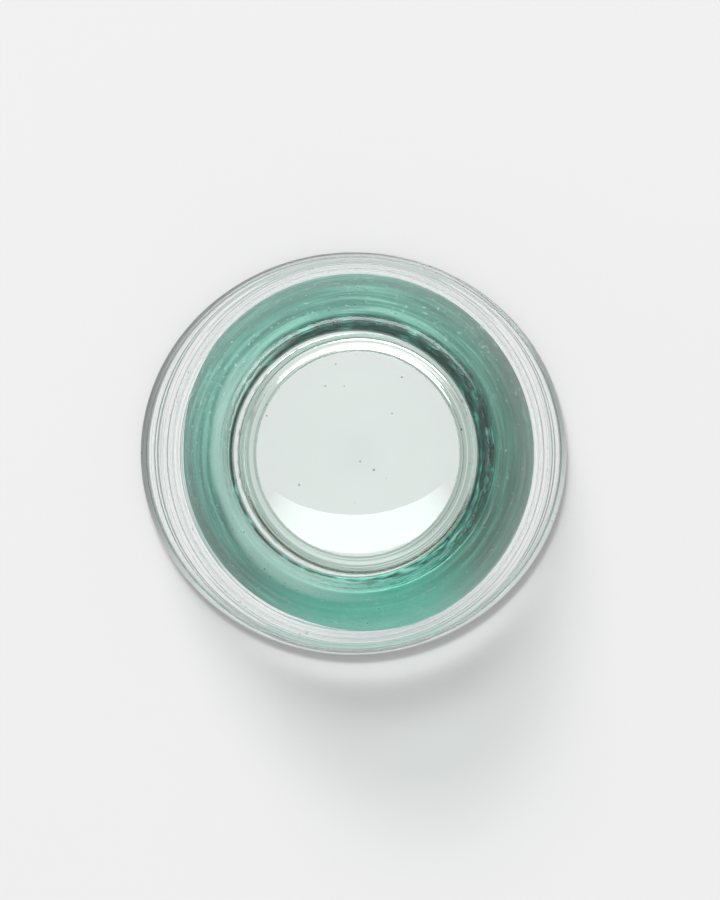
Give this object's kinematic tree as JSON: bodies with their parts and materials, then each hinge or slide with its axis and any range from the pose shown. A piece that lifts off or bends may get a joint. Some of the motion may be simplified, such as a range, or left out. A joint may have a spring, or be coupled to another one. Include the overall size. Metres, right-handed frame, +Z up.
{
  "type": "multi-part glass pin insulator",
  "caption": "Upright glass pin insulator: clear crown, tie-wire groove and umbrella skirt over an aqua-green petticoat, with a threaded pin hole from below.",
  "frame": {"origin": "centre of the petticoat's flat foot, on the surface the insulator stands on", "axes": "+Z up the pin axis towards the crown; +X along the long way across the slightly oval umbrella rim"},
  "size_m": [0.11, 0.104, 0.092],
  "materials": {
    "clear_glass": "smooth colourless pressed glass with a few seeds",
    "green_glass": "satin aqua-green glass with fine streaks and bubbles",
    "dark_green_glass": "dark green, crackled and bubbly",
    "clear_bedding": "thin cloudy bedding"
  },
  "bodies": {
    "root": {"head_shell": "clear_glass", "umbrella_bedding": "clear_bedding", "petticoat_shell": "green_glass", "joint_ring": "dark_green_glass", "sleeve_bedding": "clear_bedding", "thread_sleeve": "clear_glass"}
  },
  "joints": []
}
